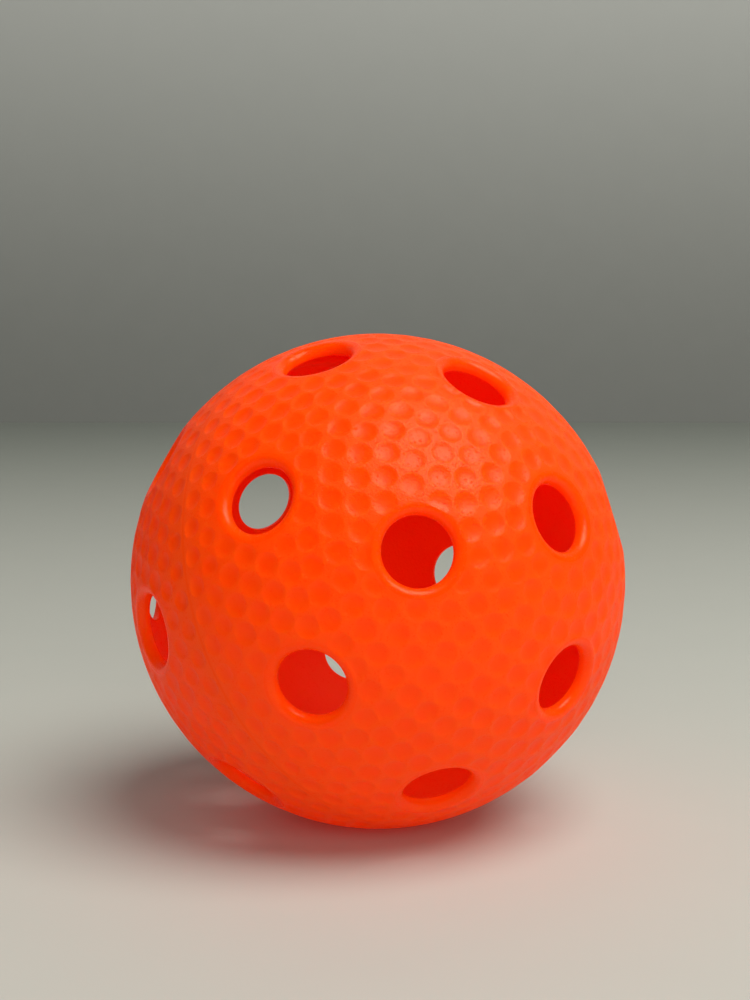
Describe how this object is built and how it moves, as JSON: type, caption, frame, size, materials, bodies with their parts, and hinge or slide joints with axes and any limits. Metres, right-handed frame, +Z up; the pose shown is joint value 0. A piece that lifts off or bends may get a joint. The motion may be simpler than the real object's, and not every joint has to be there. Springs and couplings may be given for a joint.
{
  "type": "floorball ball",
  "caption": "Light hollow ball for floorball, moulded in halves from orange plastic, welded round the middle, with round holes and a dimpled skin.",
  "frame": {"origin": "the centre of the ball", "axes": "+Z up, with the ball lying on one of its holes, whose axis is -Z; +X to the right and -Y towards the viewer of the picture"},
  "size_m": [0.072, 0.072, 0.0715],
  "materials": {
    "shell_plastic": "satin moulded polyethylene, orange",
    "weld_plastic": "remelted polyethylene, orange"
  },
  "bodies": {
    "root": {"right_half_shell": "shell_plastic", "left_half_shell": "shell_plastic", "weld_ring": "weld_plastic"}
  },
  "joints": []
}
